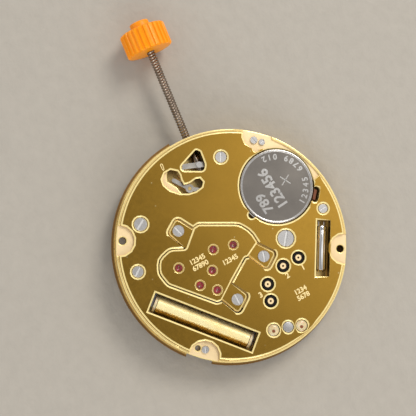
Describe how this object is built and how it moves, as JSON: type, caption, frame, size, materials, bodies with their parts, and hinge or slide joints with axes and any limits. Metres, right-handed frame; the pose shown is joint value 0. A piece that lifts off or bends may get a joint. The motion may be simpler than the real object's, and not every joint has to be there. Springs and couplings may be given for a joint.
{
  "type": "quartz watch movement",
  "caption": "Round gilt quartz watch movement seen from the battery side, with train bridge, coil, button cell and a long stem with a ribbed orange crown.",
  "frame": {"origin": "centre of the hands, on the face of the plate that the dial lies on", "axes": "+X out along the winding stem, +Y towards six o'clock, +Z from the dial side to the battery side"},
  "size_m": [0.0382, 0.0252, 0.0049],
  "materials": {
    "plate_gilt": "satin",
    "cover_gilt": "polished",
    "bridge_gilt": "polished",
    "ruby": "polished",
    "screw_steel": "polished",
    "pin_steel": "satin",
    "cream_plastic": "translucent",
    "board": "satin",
    "chip_black": "matte",
    "contact_gilt": "polished",
    "bush_black": "satin",
    "can_silver": "satin",
    "soft_iron": "satin",
    "winding_gold": "satin",
    "cell_steel": "satin",
    "insulator": "matte",
    "spring_steel": "satin",
    "magnet": "satin",
    "pinion_steel": "satin",
    "wheel_brass": "satin",
    "stem_steel": "satin",
    "crown_orange": "gloss"
  },
  "bodies": {
    "movement": {"main_plate": "plate_gilt", "cover_plate": "cover_gilt", "train_bridge": "bridge_gilt", "upper_jewels": "ruby", "lower_jewels": "ruby", "bridge_screws": "screw_steel", "cover_screws": "screw_steel", "lug_screws": "screw_steel", "slotted_post": "screw_steel", "module_rivets": "cream_plastic", "locating_pin": "pin_steel", "circuit_board": "board", "control_chip": "chip_black", "test_contacts": "contact_gilt", "contact_bushes": "bush_black", "quartz_crystal": "can_silver", "stator": "soft_iron", "stator_screws": "screw_steel", "coil_core": "soft_iron", "coil_cheeks": "cream_plastic", "coil_winding": "winding_gold", "battery_insulator": "insulator", "minus_contact": "spring_steel", "plus_contact": "spring_steel", "motion_cock": "spring_steel", "cock_screws": "screw_steel", "jumper_spring": "spring_steel"},
    "cell": {"battery": "cell_steel"},
    "rotor": {"rotor_magnet": "magnet", "rotor_pinion": "pinion_steel"},
    "second": {"second_wheel": "wheel_brass"},
    "seconds": {"seconds_wheel": "wheel_brass"},
    "third": {"third_wheel": "wheel_brass"},
    "transfer": {"transfer_wheel": "wheel_brass"},
    "centre": {"centre_wheel": "wheel_brass"},
    "cannon": {"cannon_pinion": "pinion_steel"},
    "minute": {"minute_wheel": "wheel_brass"},
    "hour": {"hour_wheel": "wheel_brass"},
    "setting": {"setting_wheel": "pinion_steel"},
    "pin": {"lever_pin": "pinion_steel"},
    "stem": {"winding_stem": "stem_steel", "crown": "crown_orange"},
    "clutch": {"sliding_clutch": "pinion_steel"},
    "lever": {"setting_lever": "spring_steel"},
    "yoke": {"yoke": "spring_steel"}
  },
  "joints": [
    {"name": "battery_lift", "type": "slide", "parent": "movement", "child": "cell", "axis": [0, 0, 1], "range_m": [0, 0.003]},
    {"name": "seconds_turn", "type": "hinge", "parent": "movement", "child": "seconds", "pos_m": [-0.00005, 0.00621, 0], "axis": [0, 0, 1], "continuous": true},
    {"name": "rotor_turn", "type": "hinge", "parent": "movement", "child": "rotor", "pos_m": [-0.00369, 0.00337, 0], "axis": [0, 0, 1], "continuous": true},
    {"name": "second_turn", "type": "hinge", "parent": "movement", "child": "second", "pos_m": [-0.00255, 0.00484, 0], "axis": [0, 0, 1], "continuous": true},
    {"name": "third_turn", "type": "hinge", "parent": "movement", "child": "third", "pos_m": [-0.00162, 0.00307, 0], "axis": [0, 0, 1], "continuous": true},
    {"name": "transfer_turn", "type": "hinge", "parent": "movement", "child": "transfer", "pos_m": [0.00035, 0.00214, 0], "axis": [0, 0, 1], "continuous": true},
    {"name": "centre_turn", "type": "hinge", "parent": "movement", "child": "centre", "pos_m": [0, 0, 0], "axis": [0, 0, 1], "continuous": true},
    {"name": "cannon_turn", "type": "hinge", "parent": "movement", "child": "cannon", "pos_m": [0, 0, 0], "axis": [0, 0, 1], "continuous": true},
    {"name": "minute_turn", "type": "hinge", "parent": "movement", "child": "minute", "pos_m": [0.00197, 0.00138, 0], "axis": [0, 0, 1], "continuous": true},
    {"name": "hour_turn", "type": "hinge", "parent": "movement", "child": "hour", "pos_m": [0, 0, 0], "axis": [0, 0, 1], "continuous": true},
    {"name": "setting_turn", "type": "hinge", "parent": "movement", "child": "setting", "pos_m": [0.00408, 0, 0], "axis": [0, 0, 1], "continuous": true},
    {"name": "stem_pull", "type": "slide", "parent": "movement", "child": "pin", "axis": [1, 0, 0], "range_m": [0, 0.001]},
    {"name": "crown_turn", "type": "hinge", "parent": "pin", "child": "stem", "pos_m": [0.01, 0, 0.00105], "axis": [1, 0, 0], "continuous": true},
    {"name": "clutch_shift", "type": "slide", "parent": "stem", "child": "clutch", "axis": [1, 0, 0], "range_m": [-0.00132, 0]},
    {"name": "lever_turn", "type": "hinge", "parent": "movement", "child": "lever", "pos_m": [0.0096, 0.0019, 0.0017], "axis": [0, 0, 1], "range_deg": [0, 29.44]},
    {"name": "yoke_turn", "type": "hinge", "parent": "movement", "child": "yoke", "pos_m": [0.00716, 0.00188, 0.0017], "axis": [0, 0, 1], "range_deg": [-10.37, 0]}
  ],
  "couplings": [
    {"joint": "rotor_turn", "follows": "seconds_turn", "ratio": 30},
    {"joint": "second_turn", "follows": "seconds_turn", "ratio": -5},
    {"joint": "third_turn", "follows": "seconds_turn", "ratio": 0.83333},
    {"joint": "transfer_turn", "follows": "seconds_turn", "ratio": -0.125},
    {"joint": "centre_turn", "follows": "seconds_turn", "ratio": 0.016667},
    {"joint": "minute_turn", "follows": "cannon_turn", "ratio": -0.33333},
    {"joint": "hour_turn", "follows": "cannon_turn", "ratio": 0.083333},
    {"joint": "setting_turn", "follows": "cannon_turn", "ratio": 0.83333},
    {"joint": "clutch_shift", "follows": "stem_pull", "ratio": -1.32},
    {"joint": "lever_turn", "follows": "stem_pull", "rad_per_m": 513.61},
    {"joint": "yoke_turn", "follows": "stem_pull", "rad_per_m": -180.84}
  ]
}
